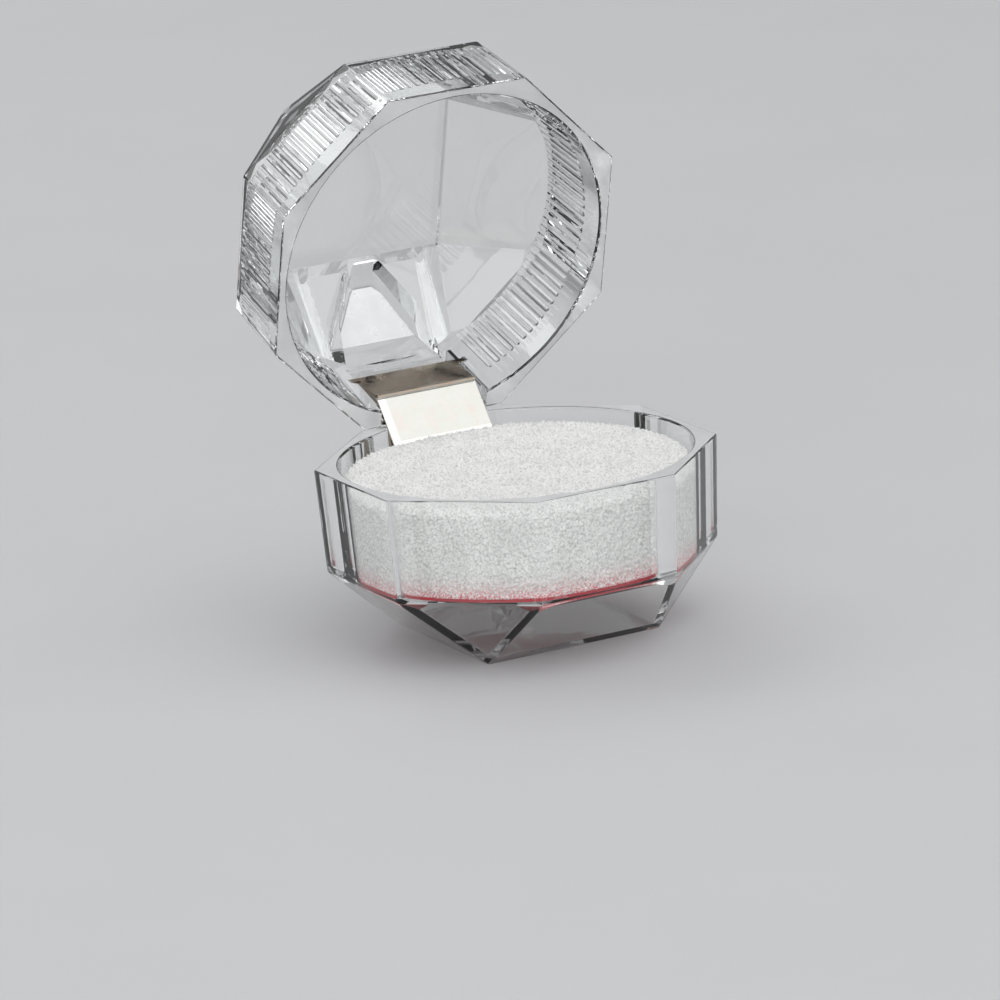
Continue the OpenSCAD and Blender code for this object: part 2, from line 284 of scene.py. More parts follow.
def ground_and_highlight_plastic(settings):
    """The ground faces of rims and ribs, which scatter light and carry faint scuffs; on the ribs its milky
    white is a painted highlight
    """
    f = Finish("ground_and_highlight_plastic")
    scuff = f.grain(0.6 * MM, 4.0)
    grit = f.grain(0.09 * MM, 2.0)
    rough = f.band(scuff, *(settings.rim_frost + change for change in GROUND_SPREAD))
    normal = f.relief(scuff, 0.006 * MM, 0.4)
    normal = f.relief(grit, 0.002 * MM, 0.4, normal)
    tone = f.blend(f.band(scuff, 0.0, 0.5), rgba(WHITE_TONE), rgba(GROUND_TONE))
    shader = f.shader(
        tone, Roughness=rough, IOR=settings.ior, Normal=normal, Transmission_Weight=GROUND_PASS,
    )
    f.let_lamps_in(shader, GROUND_FILM)
    return f.material


def frosted_plastic(settings):
    """The inside of the hinge housing's slope and the pocket's floor, evenly dull"""
    f = Finish("frosted_plastic")
    grit = f.grain(0.12 * MM, 3.0)
    cloud = f.grain(1.3 * MM, 3.0)
    rough = f.band(cloud, 0.26, 0.4)
    normal = f.relief(grit, 0.0025 * MM, 0.5)
    tone = f.blend(f.band(cloud, 0.0, 0.6), rgba(WHITE_TONE), rgba(FROSTED_TONE))
    shader = f.shader(
        tone, Roughness=rough, IOR=settings.ior, Normal=normal, Transmission_Weight=FROSTED_PASS,
    )
    f.let_lamps_in(shader, FROSTED_FILM)
    return f.material


def open_cell_foam(settings):
    """White foam: bright grains with painted shade in the gaps, and painted pink glow near the card where it
    shines through
    """
    f = Finish("open_cell_foam")
    cells = f.add(
        "TexVoronoi", {"feature": "F1"},
        Vector=f.place, Scale=FOAM_SCALE / settings.foam_cell, Randomness=1.0,
    )
    gap_shade_and_depth = f.band(cells.outputs["Distance"], 0.0, 1.0, 0.4, 0.85)
    fuzz = f.grain(0.12 * MM, 3.0)
    light = toned(settings.foam_colour, FOAM_LIGHT)
    shade = toned(settings.foam_colour, FOAM_SHADE)
    tone = f.blend(f.band(fuzz, 0.0, 1.0, 0.4, 0.65), rgba(settings.foam_colour), light)
    # Painted shade: the gaps between the grains are darkened towards the shade colour
    tone = f.blend(gap_shade_and_depth, tone, shade)
    tone = f.blend(f.band(f.grain(3.5 * MM, 2.0), 0.0, 0.25), tone, shade)
    height = f.add("SeparateXYZ", Vector=f.place).outputs["Z"]
    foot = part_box("foam_pad")[0].z
    # Painted glow: the card's pink, in speckles, strongest at the foam's foot and fading up to the reach
    near = f.band(height, 1.0, 0.0, foot, foot + settings.pink_glow_reach)
    spots = f.band(f.grain(0.17 * MM, 3.0), 0.08, 1.0, 0.44, 0.6)
    share = f.maths("MULTIPLY", f.maths("POWER", near, PINK_GLOW_FALL), spots)
    tone = f.blend(share, tone, rgba(PINK_GLOW))
    normal = f.relief(gap_shade_and_depth, -0.05 * MM, 0.6)
    normal = f.relief(fuzz, 0.05 * MM, 0.6, normal)
    f.shader(
        tone, Roughness=0.95, Normal=normal, Specular_IOR_Level=0.3, Sheen_Weight=0.1,
        Subsurface_Weight=0.15, Subsurface_Radius=(1.0, 0.95, 0.9), Subsurface_Scale=0.3 * MM,
    )
    return f.material


def red_card(settings):
    """Dyed paper card with short fibres and a faint mottle"""
    f = Finish("red_card")
    fibre = f.grain(0.14 * MM, 4.0, (1.0, 0.3, 1.0))
    mottle = f.grain(1.6 * MM, 3.0)
    base = rgba(settings.card_colour)
    deep = toned(settings.card_colour, CARD_SHADE)
    tone = f.blend(f.band(fibre, 0.0, 0.6), base, deep)
    tone = f.blend(f.band(mottle, 0.0, 0.35), tone, deep)
    normal = f.relief(fibre, 0.03 * MM, 0.5)
    f.shader(tone, Roughness=0.72, Normal=normal, Specular_IOR_Level=0.35)
    return f.material


def rolled_sheet(name, colour, stain, low_rough, high_rough, lip_highlight_node=None):
    """Bright rolled sheet: lines along the roll, stains of two hues, fine pits

    The lip_highlight_node has a lip along its left edge and its foot: a small bump with a painted highlight.
    """
    f = Finish(name)
    lines = f.grain(0.12 * MM, 3.0, (0.03, 1.0, 1.0))
    cloud = f.grain(1.8 * MM, 3.0)
    second = f.grain(1.1 * MM, 2.0, (1.0, 1.3, 0.7))
    cells = f.add("TexVoronoi", {"feature": "F1"}, Vector=f.place, Scale=1 / (0.9 * MM))
    pits = f.band(cells.outputs["Distance"], 0.0, 1.0, 0.0, 0.12)
    warm = rgba([c * t for c, t in zip(colour, (1.0, 1 - stain, 1 - 1.5 * stain))])
    cool = rgba([c * t for c, t in zip(colour, (1 - stain, 1.0, 1 - 0.6 * stain))])
    tone = f.blend(f.band(cloud, 0.0, 1.0), rgba(colour), warm)
    tone = f.blend(f.band(second, 0.0, 0.7), tone, cool)
    rough = f.band(f.grain(0.6 * MM, 4.0), low_rough, high_rough)
    normal = f.relief(lines, 0.004 * MM, 0.5)
    normal = f.relief(pits, 0.02 * MM, 0.4, normal)
    if lip_highlight_node:
        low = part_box(lip_highlight_node)[0]
        split = f.add("SeparateXYZ", Vector=f.place)
        side = f.band(split.outputs["X"], 1.0, 0.0, *(low.x + step * MM for step in LIP_SIDE))
        foot = f.band(split.outputs["Z"], 1.0, 0.0, *(low.z + step * MM for step in LIP_FOOT))
        # Painted highlight: the sheet is lighter in a band along its left edge and its foot, over a real bump
        # there
        edge = f.maths("MAXIMUM", side, foot)
        tone = f.blend(edge, tone, toned(colour, LIP_HIGHLIGHT))
        normal = f.relief(edge, 0.03 * MM, 0.5, normal)
    f.shader(tone, Roughness=rough, Metallic=1.0, Normal=normal)
    return f.material


def drawn_wire(settings):
    """The pin's wire, with draw lines round it"""
    f = Finish("drawn_wire")
    lines = f.grain(0.08 * MM, 3.0, (1.0, 0.2, 0.2))
    dirt = f.grain(0.5 * MM, 3.0)
    tone = f.blend(f.band(dirt, 0.0, 0.6), rgba(settings.pin_colour), rgba(WIRE_DIRT))
    rough = f.band(dirt, 0.22, 0.4)
    f.shader(tone, Roughness=rough, Metallic=1.0, Normal=f.relief(lines, 0.004 * MM, 0.5))
    return f.material


# ---------------------------------------------------------------- meshes


def add_piece(name, bm, materials, slot, body, *nodes):
    """Makes an object from a bmesh, with its finish, that rides on a body and stands for CAD nodes"""
    mesh = bpy.data.meshes.new(name)
    bm.to_mesh(mesh)
    bm.free()
    piece = bpy.data.objects.new(name, mesh)
    bpy.context.scene.collection.objects.link(piece)
    for material in materials:
        mesh.materials.append(material)
    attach(piece, body)
    if nodes:
        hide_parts(*nodes)
    return piece


def joined_mesh(node):
    """A CAD node's mesh as a bmesh, with its split corners joined and its flat faces whole"""
    bm = bmesh.new()
    bm.from_mesh(frame["nodes"][node].data)
    bmesh.ops.remove_doubles(bm, verts=bm.verts, dist=0.002 * MM)
    bmesh.ops.dissolve_limit(bm, angle_limit=math.radians(0.5), verts=bm.verts, edges=bm.edges)
    return bm


def smooth_within(piece, angle=math.radians(30)):
    """Smooth shading with flat facets kept flat"""
    for face in piece.data.polygons:
        face.use_smooth = True
    piece.data.set_sharp_from_angle(angle=angle)
    weighted = piece.modifiers.new("Flat facets", "WEIGHTED_NORMAL")
    weighted.keep_sharp = True
    weighted.weight = 80


# Closed bodies, in millimetres, that the shells are cut and joined from. Each starts as a cube of this size
START_SIZE = 120.0


def convex(planes, rounding=0.0, segments=3):
    """The body behind all the planes, each a normal and an offset, with its edges rounded"""
    bm = bmesh.new()
    bmesh.ops.create_cube(bm, size=START_SIZE)
    for normal, offset in planes:
        normal = Vector(normal)
        offset /= normal.length
        normal.normalize()
        parts = bm.verts[:] + bm.edges[:] + bm.faces[:]
        bmesh.ops.bisect_plane(
            bm, geom=parts, dist=1e-5, plane_co=normal * offset, plane_no=normal, clear_outer=True,
        )
        rim = [edge for edge in bm.edges if edge.is_boundary]
        if rim:
            bmesh.ops.edgeloop_fill(bm, edges=rim)
    bmesh.ops.recalc_face_normals(bm, faces=bm.faces)
    if rounding:
        bmesh.ops.bevel(
            bm, geom=bm.edges[:], offset=rounding, offset_type="OFFSET", segments=segments, profile=0.5,
            affect="EDGES", clamp_overlap=True,
        )
    return bm


def block(low, high, rounding=0.0):
    """A block between two corners"""
    planes = []
    for axis in range(3):
        normal = [0, 0, 0]
        normal[axis] = 1
        planes.append((normal, high[axis]))
        planes.append(([-n for n in normal], -low[axis]))
    return convex(planes, rounding, 2)


def revolved(outline, steps=256):
    """A closed outline of radius and height, from axis to axis, turned about Z"""
    bm = bmesh.new()
    rings = []
    for radius, z in outline:
        if radius == 0:
            rings.append([bm.verts.new((0, 0, z))] * steps)
            continue
        turn = [2 * math.pi * i / steps for i in range(steps)]
        rings.append([bm.verts.new((radius * math.cos(a), radius * math.sin(a), z)) for a in turn])
    for low, high in zip(rings, rings[1:]):
        for i in range(steps):
            corners = [low[i], low[(i + 1) % steps], high[(i + 1) % steps], high[i]]
            bm.faces.new(dict.fromkeys(corners))
    bmesh.ops.recalc_face_normals(bm, faces=bm.faces)
    return bm


def rod(start, end, radius, sides, caps=3, end_radius=None):
    """A rod with round ends, which may taper"""
    start, end = Vector(start), Vector(end)
    outline = [(0, -radius)]
    for i in range(1, caps + 1):
        a = math.pi / 2 * i / caps
        outline.append((radius * math.sin(a), -radius * math.cos(a)))
    span = (end - start).length
    share = 1 if end_radius is None else end_radius / radius
    outline += [(r * share, span - z * share) for r, z in reversed(outline)]
    bm = revolved(outline, sides)
    turn = (end - start).to_track_quat("Z", "Y").to_matrix().to_4x4()
    bmesh.ops.transform(bm, matrix=Matrix.Translation(start) @ turn, verts=bm.verts)
    return bm


def together(bodies):
    """Bodies that don't meet, as one bmesh"""
    whole = bmesh.new()
    for bm in bodies:
        mesh = bpy.data.meshes.new("part")
        bm.to_mesh(mesh)
        bm.free()
        whole.from_mesh(mesh)
        bpy.data.meshes.remove(mesh)
    return whole


def combine(first, second, operation, finishes):
    """Joins two bodies, takes one from the other, or keeps what they share"""
    pair = []
    for bm in (first, second):
        mesh = bpy.data.meshes.new("work")
        bm.to_mesh(mesh)
        bm.free()
        for finish in finishes:
            mesh.materials.append(finish)
        item = bpy.data.objects.new("work", mesh)
        bpy.context.scene.collection.objects.link(item)
        pair.append(item)
    step = pair[0].modifiers.new("Step", "BOOLEAN")
    step.operation = operation
    step.solver = "MANIFOLD"
    step.object = pair[1]
    result = bmesh.new()
    done = pair[0].evaluated_get(bpy.context.evaluated_depsgraph_get())
    result.from_mesh(done.to_mesh())
    done.to_mesh_clear()
    for item in pair:
        mesh = item.data
        bpy.data.objects.remove(item)
        bpy.data.meshes.remove(mesh)
    if not result.faces:
        raise RuntimeError(f"nothing is left after {operation}")
    return result


# Sizes of the hinge and the shells are in millimetres, and slopes are run over rise
# Hinge places, with the box shut and its foot at zero
PIN_Y, PIN_Z, SHUT_H = 18.4, 19.12, 36.85
BEAD_Y, BEAD_Z = 16.58, 20.62
OPEN_ANGLE = next(j for j in frame["joints"] if j["name"] == "lid_hinge")["range_deg"][1]
# The leaves' sheet and tabs. BASE_TAB_Z is the base tabs' lower edge above the foot, and LID_TAB_RISE the lid
# tabs' upper edge above the bead
LEAF_W, SHEET_T, TAB_W, TAB_H, SLOT_CLEAR = 11.4, 0.25, 1.2, 0.6, 0.05
BASE_LEAF_Y, BASE_TAB_Z, LID_TAB_RISE = BEAD_Y + 0.5, 11.85, 4.42
# The pocket behind the leaves: width, wall at the back, depth below the rim
POCKET_W, POCKET_WALL, POCKET_H, POCKET_ROUND = 11.9, 0.9, 8.8, 0.08
# The housing's hollow narrows from the pocket to the foot, with a bend at HOUSING_H below the rim.
# HOUSING_TIP is half its width at the foot, HOUSING_SLOPE its slope down to there, and HOUSING_FRONT where it
# ends in front. HOUSING_IN and HOUSING_STEP are how far it stands in from the pocket's sides and back, at its
# top and at its bend
HOUSING_H, HOUSING_TIP, HOUSING_SLOPE, HOUSING_FRONT = 13.4, 1.1, 1.05, 9.0
HOUSING_IN, HOUSING_STEP = (0.45, 1.35), (0.7, 1.35)
HOUSING_WALL, HOUSING_ROUND, HOLLOW_ROUND = 1.0, 0.4, 0.12
# The steeper cap at the hollow's tip
CAP_RISE, CAP_SLOPE, CAP_ROUND = 0.9, 0.6, 0.03
# The two ribs on the housing and the web between them
RAIL_R, RAIL_TIP_R, RAIL_H, RAIL_INSET, RAIL_SLOPE = 1.2, 0.5, 12.8, 1.5, 1.303
RAIL_X, RAIL_SIDES, RAIL_CAPS = LEAF_W / 2 + TAB_W, 48, 8
WEB_OUT, WEB_ROUND = 0.3, 0.1
# Half the width of the lid's notch, the height up to which it is cut with the box shut, and the heel's radius
NOTCH_HALF_W, NOTCH_Z, NOTCH_ROUND, HEEL_R, HEEL_SIDES = 6.15, 19.82, 0.06, 0.67, 96
# Size of the easing of the well's corners
WELL_EASE = 0.05
# Degrees from flute to flute, and gaps from the flutes to the ribs and to the well's floor
FLUTE_STEP, FLUTE_SIDE_GAP, FLUTE_FOOT_GAP, FLUTE_SIDES = 3, 0.3, 0.2, 12
# How far one cut reaches into the next: the hollow facets into the well, the housing's hollow into the pocket,
# and the cap into the hollow above it
WELL_OVERLAP, POCKET_OVERLAP, CAP_OVERLAP = 0.03, 0.2, 0.02
# How far a body reaches past the side where it is open or cut off, and a place well outside the shells
PAST, OUTSIDE = 1, 30
# Places of two finishes in a shell's list of materials, after the polished one
GROUND_AND_HIGHLIGHT, FROSTED = 1, 2
# Single numbers in the shells' settings that are no lengths
NOT_LENGTHS = ("ior", "rim_frost")


class ShellBuilder:
    """Builds one clear shell in millimetres, foot down and rim up

    The settings' lengths, h, wall_h, facet_t and step are in metres, and tab_y and tab_z in millimetres.
    """

    def __init__(self, settings, finishes, h, wall_h, facet_t, tab_y, tab_z, step=0.0):
        self.finishes = finishes
        self.step = step / MM
        self.h, self.wall_h, self.facet_t = h / MM, wall_h / MM, facet_t / MM
        self.floor_z = self.h - self.wall_h
        self.tab_y, self.tab_z = tab_y, tab_z
        for name in settings.__annotations__:
            value = getattr(settings, name)
            if isinstance(value, float) and name not in NOT_LENGTHS:
                setattr(self, "s_" + name, value / MM)
        self.half_w = self.s_half_w
        self.well_r = self.half_w - self.s_rim_wall
        self.pocket_y = self.half_w - POCKET_WALL

    def build(self, flutes):
        body = self.outside()
        body = self.take(body, self.well())
        body = self.take(body, self.hollow_facets())
        if flutes:
            body = combine(body, self.flutes(), "UNION", self.finishes)
        for cap, rounding, most_z in ((False, HOLLOW_ROUND, -0.5), (True, CAP_ROUND, 0)):
            core = self.core(0, self.facet_t, rounding, cap)
            for face in core.faces:
                normal = face.normal
                if abs(normal.x) < 0.2 and normal.y > 0.4 and normal.z < most_z:
                    face.material_index = FROSTED
            body = self.take(body, core)
        pocket = self.pocket()
        for face in pocket.faces:
            if face.normal.z < -0.9:
                face.material_index = FROSTED
        body = self.take(body, pocket)
        return self.take(body, self.slots())

    def take(self, body, tool):
        return combine(body, tool, "DIFFERENCE", self.finishes)

    def well_at(self, depth):
        return self.well_r - self.s_well_taper * depth / self.wall_h

    def planes(self, t=0.0, step=0.0):
        """The sixteen leaning faces of the crystal, moved in by t, and by the step more at the foot"""
        lean, facet_h = self.s_wall_lean, self.floor_z
        edge = self.half_w - lean
        result = []
        for i in range(8):
            a = math.radians(45 * i)
            foot = (self.s_foot_w / 2 - step) * (1 if i % 2 == 0 else math.sqrt(2))
            wall_run, facet_run = lean / self.wall_h, (edge - foot) / facet_h
            for start, run in ((self.half_w - wall_run * self.h, wall_run), (foot, facet_run)):
                size = math.sqrt(1 + run * run)
                normal = (math.cos(a) / size, math.sin(a) / size, -run / size)
                result.append((normal, start / size - t))
        return result

    def outside(self):
        ends = [((0, 0, -1), 0), ((0, 0, 1), self.h)]
        body = convex(self.planes() + ends, self.s_edge_round)
        back = self.core(HOUSING_WALL, 0, HOUSING_ROUND)
        back = combine(back, self.rails(), "UNION", self.finishes)
        back = combine(back, self.rail_web(), "UNION", self.finishes)
        room = block((-self.half_w, HOUSING_FRONT, 0), (self.half_w, self.half_w, self.floor_z + PAST))
        back = combine(back, room, "INTERSECT", self.finishes)
        return combine(body, back, "UNION", self.finishes)

    def well(self):
        h, floor_z, chamfer, ease = self.h, self.floor_z, self.s_rim_chamfer, WELL_EASE
        top_r, floor_r = self.well_at(chamfer), self.well_at(self.wall_h)
        outline = [
            (0, floor_z), (floor_r - 2 * ease, floor_z),
            (floor_r - 0.4 * ease, floor_z + 0.6 * ease), (floor_r, floor_z + 2 * ease),
            (top_r, h - chamfer - ease), (top_r + ease * 0.6, h - chamfer + ease * 0.5),
            (top_r + chamfer - ease * 0.6, h - ease * 0.5), (top_r + chamfer + ease, h + 0.001),
            (top_r + chamfer + ease, h + PAST), (0, h + PAST),
        ]
        return revolved(outline)

    def hollow_facets(self):
        """The hollow under the well, which takes the well's floor out with it"""
        ends = [((0, 0, -1), -self.facet_t), ((0, 0, 1), self.floor_z + PAST)]
        hollow = convex(self.planes(self.facet_t, self.step) + ends, self.s_inner_round)
        top = self.floor_z + WELL_OVERLAP
        sleeve = revolved([(0, 0), (self.well_at(self.h), 0), (self.well_at(self.h - top), top), (0, top)])
        return combine(hollow, sleeve, "INTERSECT", self.finishes)

    def flutes(self):
        rods = []
        r, out = self.s_flute_r, self.s_flute_out
        hinge = math.degrees(math.asin((RAIL_X + FLUTE_SIDE_GAP) / self.well_r))
        count = int((180 - hinge - FLUTE_STEP / 2) // FLUTE_STEP)
        for i in range(-count, count + 1):
            a = math.radians(FLUTE_STEP * i)
            ends = []
            for depth in (self.s_flute_start + r, self.wall_h - FLUTE_FOOT_GAP):
                reach = self.well_at(depth) + r - out
                ends.append((reach * math.sin(a), -reach * math.cos(a), self.h - depth))
            rods.append(rod(ends[0], ends[1], r, FLUTE_SIDES))
        return together(rods)

    def core(self, t, floor_z, rounding, cap=False):
        """The hollow under the pocket, grown by t, or only the steeper cap at its tip"""
        h = self.h
        half = POCKET_W / 2 + t
        top_y, bend_y = self.pocket_y - HOUSING_STEP[0] + t, self.pocket_y - HOUSING_STEP[1] + t
        tip_y = bend_y - (h - HOUSING_H) * HOUSING_SLOPE
        heights = (floor_z, h - HOUSING_H - t, h - POCKET_H + POCKET_OVERLAP)
        sides = (HOUSING_TIP + t, half - HOUSING_IN[1], half - HOUSING_IN[0])
        backs = (tip_y, bend_y, top_y)
        planes = [((0, 0, -1), -floor_z), ((0, 0, 1), heights[2]), ((0, -1, 0), -HOUSING_FRONT)]
        if cap:
            bend = tip_y + CAP_RISE * (bend_y - tip_y) / (heights[1] - floor_z)
            z = floor_z + CAP_RISE
            planes += [((0, 1, -CAP_SLOPE), bend - CAP_SLOPE * z), ((0, 0, 1), z + CAP_OVERLAP)]
        for i in range(2):
            rise = heights[i + 1] - heights[i]
            run = backs[i + 1] - backs[i]
            if not cap:
                planes.append(((0, rise, -run), rise * backs[i] - run * heights[i]))
            run = sides[i + 1] - sides[i]
            for x in (-1, 1):
                planes.append(((x * rise, 0, -run), rise * sides[i] - run * heights[i]))
        return convex(planes, rounding)

    def rail_line(self):
        start = Vector((0, self.half_w - RAIL_INSET, self.h - RAIL_H))
        way = Vector((0, -RAIL_SLOPE, -1)).normalized()
        return start, way

    def rails(self):
        start, way = self.rail_line()
        span = way * ((self.h - RAIL_H + PAST) * math.sqrt(1 + RAIL_SLOPE**2))
        shift = Vector((RAIL_X, 0, 0))
        starts = (start - shift, start + shift)
        rails = together([
            rod(place, place + span, RAIL_R, RAIL_SIDES, RAIL_CAPS, RAIL_TIP_R) for place in starts
        ])
        # Painted highlight: the clear ribs get the milky ground finish so that they show as bright rods
        for face in rails.faces:
            face.material_index = GROUND_AND_HIGHLIGHT
        return rails

    def rail_web(self):
        start, way = self.rail_line()
        out = Vector((0, -way.z, way.y))
        planes = [
            (out, out.dot(start) + WEB_OUT), (-way, -way.dot(start)),
            ((1, 0, 0), RAIL_X), ((-1, 0, 0), RAIL_X), ((0, -1, 0), -HOUSING_FRONT),
            ((0, 0, -1), PAST), ((0, 0, 1), self.floor_z + 2 * PAST),
        ]
        return convex(planes, WEB_ROUND)

    def pocket(self):
        low = (-POCKET_W / 2, HOUSING_FRONT, self.h - POCKET_H)
        return block(low, (POCKET_W / 2, self.pocket_y, self.h + PAST), POCKET_ROUND)

    def slots(self):
        x = LEAF_W / 2 + TAB_W + SLOT_CLEAR
        y = SHEET_T / 2 + SLOT_CLEAR
        low = (-x, self.tab_y - y, self.tab_z - SLOT_CLEAR)
        return block(low, (x, self.tab_y + y, self.tab_z + TAB_H + SLOT_CLEAR))

    def hinge_cuts(self, body):
        """The lid's notch for the eyes, and its heel, which is round about the pin"""
        past_w, past_h, pin_z = self.half_w + PAST, self.h + PAST, SHUT_H - PIN_Z
        low = (-NOTCH_HALF_W, BEAD_Y, SHUT_H - NOTCH_Z)
        body = self.take(body, block(low, (NOTCH_HALF_W, OUTSIDE, past_h), NOTCH_ROUND))
        heel = block((-past_w, PIN_Y, pin_z), (past_w, past_w, past_h))
        bar = rod((-OUTSIDE, PIN_Y, pin_z), (OUTSIDE, PIN_Y, pin_z), HEEL_R, HEEL_SIDES)
        return self.take(body, self.take(heel, bar))


def finish_rim(bm, h):
    """Grinds the flat faces at the rim's height"""
    for face in bm.faces:
        if face.normal.z > 0.999 and abs(face.calc_center_median().z - h) < 0.01:
            face.material_index = GROUND_AND_HIGHLIGHT


class RINGBOX_OT_clear_shells(bpy.types.Operator):
    """Makes the base and the lid in clear plastic with rounded edges, ground rims, and ribs given the ground
    finish as a painted highlight
    """

    bl_idname = "ringbox.clear_shells"
    bl_label = "Clear shells"

    def execute(self, context):
        settings = context.scene.ringbox_shells
        finishes = [polished_plastic(settings), ground_and_highlight_plastic(settings), frosted_plastic(settings)]
        base = ShellBuilder(
            settings, finishes, settings.base_h, settings.base_wall_h, settings.base_facet_t,
            BASE_LEAF_Y, BASE_TAB_Z,
        )
        body = base.build(flutes=False)
        self.show(body, base, Matrix.Identity(4), "base", "base_shell")
        lid = ShellBuilder(
            settings, finishes, settings.lid_h, settings.lid_wall_h, settings.lid_facet_t,
            BEAD_Y, SHUT_H - (BEAD_Z + LID_TAB_RISE), settings.lid_hollow_step,
        )
        body = lid.hinge_cuts(lid.build(flutes=True))
        pin = Vector((0, PIN_Y, PIN_Z))
        swing = Matrix.Rotation(-math.radians(OPEN_ANGLE), 4, "X")
        turn_over = Matrix.Translation((0, 0, SHUT_H)) @ Matrix.Diagonal((1, 1, -1, 1))
        place = Matrix.Translation(pin) @ swing @ Matrix.Translation(-pin) @ turn_over
        self.show(body, lid, place, "lid", "lid_shell")
        return {"FINISHED"}

    @staticmethod
    def show(body, builder, place, body_name, node):
        """Moves a shell from millimetres about its foot to its place, and adds it"""
        finish_rim(body, builder.h)
        bmesh.ops.remove_doubles(body, verts=body.verts, dist=0.0005)
        bmesh.ops.transform(body, matrix=Matrix.Scale(MM, 4) @ place, verts=body.verts)
        if place.determinant() < 0:
            bmesh.ops.reverse_faces(body, faces=body.faces)
        piece = add_piece("clear_" + node, body, builder.finishes, "clear_shell", body_name, node)
        smooth_within(piece, angle=math.radians(25))


# The card's outline has this many corners on each ring, moved in at random by up to this share of the radius
CARD_STEPS, CARD_WEAR, CARD_SEED = 180, 0.003, 11


class RINGBOX_OT_card(bpy.types.Operator):
    """Makes the red card disc under the foam"""

    bl_idname = "ringbox.card"
    bl_label = "Card"

    def execute(self, context):
        settings = context.scene.ringbox_soft
        low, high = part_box("base_card")
        middle = (low.z + high.z) / 2
        rng = random.Random(CARD_SEED)
        bm = bmesh.new()
        rings = []
        for share, z in ((1.0, low.z), (1.0, middle), (0.996, high.z), (0.9, high.z), (0.4, high.z)):
            ring = []
            for i in range(CARD_STEPS):
                a = 2 * math.pi * i / CARD_STEPS
                r = high.x * share * (1 - CARD_WEAR * rng.random())
                ring.append(bm.verts.new((r * math.cos(a), r * math.sin(a), z)))
            rings.append(ring)
        for inner, outer in zip(rings[1:], rings):
            for i in range(CARD_STEPS):
                j = (i + 1) % CARD_STEPS
                bm.faces.new((outer[i], outer[j], inner[j], inner[i]))
        bm.faces.new(rings[-1])
        bm.faces.new(list(reversed(rings[0])))
        piece = add_piece("card_disc", bm, [red_card(settings)], "red_card", "base", "base_card")
        smooth_within(piece)
        return {"FINISHED"}


# Most that a grain of foam stands out, in millimetres: free at the top, held by the wall at the side
TOP_FUZZ, SIDE_FUZZ = 0.3, 0.05
# The foam is smooth up to this height above its foot, in millimetres
PLAIN_FOOT = 0.3
# How steeply a grain falls off per cell, and how far the gaps are sunk as a share of an even grain
GRAIN_FALL, GRAIN_SINK = 1.5, 0.45
# The grains' heights: their middle, their spread, and the scale of the noise that they are read from
GRAIN_MEAN, GRAIN_SPREAD, GRAIN_SCALE = 0.7, 1.2, 7.3


class RINGBOX_OT_foam(bpy.types.Operator):
    """Makes the crowned foam pad with its grains"""

    bl_idname = "ringbox.foam"
    bl_label = "Foam pad"

    def execute(self, context):
        settings = context.scene.ringbox_soft
        bm = joined_mesh("foam_pad")
        piece = add_piece("foam_pad_grain", bm, [open_cell_foam(settings)], "white_foam", "base", "foam_pad")
        remesh = piece.modifiers.new("Even steps", "REMESH")
        remesh.mode = "VOXEL"
        remesh.voxel_size = settings.foam_voxel
        graph = bpy.context.evaluated_depsgraph_get()
        mesh = bpy.data.meshes.new_from_object(piece.evaluated_get(graph))
        piece.modifiers.clear()
        piece.data = mesh
        self.roughen(piece, settings)
        return {"FINISHED"}

    @staticmethod
    def roughen(piece, settings):
        """Raises a grain about each cell's middle and sinks the gaps between them"""
        mesh = piece.data
        plain_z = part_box("foam_pad")[0].z + PLAIN_FOOT * MM
        count = len(mesh.vertices)
        normals = np.empty(count * 3, np.float32)
        mesh.vertices.foreach_get("normal", normals)
        normals = normals.reshape(-1, 3)
        place = np.empty(count * 3, np.float32)
        mesh.vertices.foreach_get("co", place)
        place = place.reshape(-1, 3)
        for i in range(count):
            p = Vector(place[i])
            if p.z <= plain_z:
                continue
            near, spots = noise.voronoi(p / settings.foam_cell, distance_metric="DISTANCE")
            reach = GRAIN_MEAN + GRAIN_SPREAD * noise.noise(spots[0] * GRAIN_SCALE)
            push = settings.foam_grain * (max(0.0, 1 - near[0] * GRAIN_FALL) * reach - GRAIN_SINK)
            most = TOP_FUZZ if normals[i][2] > 0.5 else SIDE_FUZZ
            place[i] += normals[i] * min(push, most * MM)
        mesh.vertices.foreach_set("co", place.ravel())
        for face in mesh.polygons:
            face.use_smooth = True
        mesh.update()


class RINGBOX_OT_hinge(bpy.types.Operator):
    """Gives the hinge's leaves, stay plate and pin their metal finish"""

    bl_idname = "ringbox.hinge"
    bl_label = "Hinge finish"

    def execute(self, context):
        settings = context.scene.ringbox_hinge
        leaf = rolled_sheet("leaf_sheet", settings.leaf_colour, 0.10, 0.06, 0.16)
        stay = rolled_sheet("stay_sheet", settings.stay_colour, 0.05, 0.12, 0.24, "stay_plate")
        wire = drawn_wire(settings)
        finishes = {"base_leaf": leaf, "lid_leaf": leaf, "stay_plate": stay, "hinge_pin": wire}
        for node, finish in finishes.items():
            mesh = frame["nodes"][node].data
            mesh.materials.clear()
            mesh.materials.append(finish)
        return {"FINISHED"}


# ---------------------------------------------------------------- studio

# Side of the square picture that the focal length is given for, in pixels, and a camera sensor's width
PICTURE_SIDE, SENSOR_W = 1000, 36
# Height of the point that the camera turns about, and its shift right and up, in millimetres
CAMERA_TARGET_Z, CAMERA_PAN = 15, (-1.818, -1.635)
FLOOR_RADIUS, FLOOR_SHADE = 4.0, 0.985
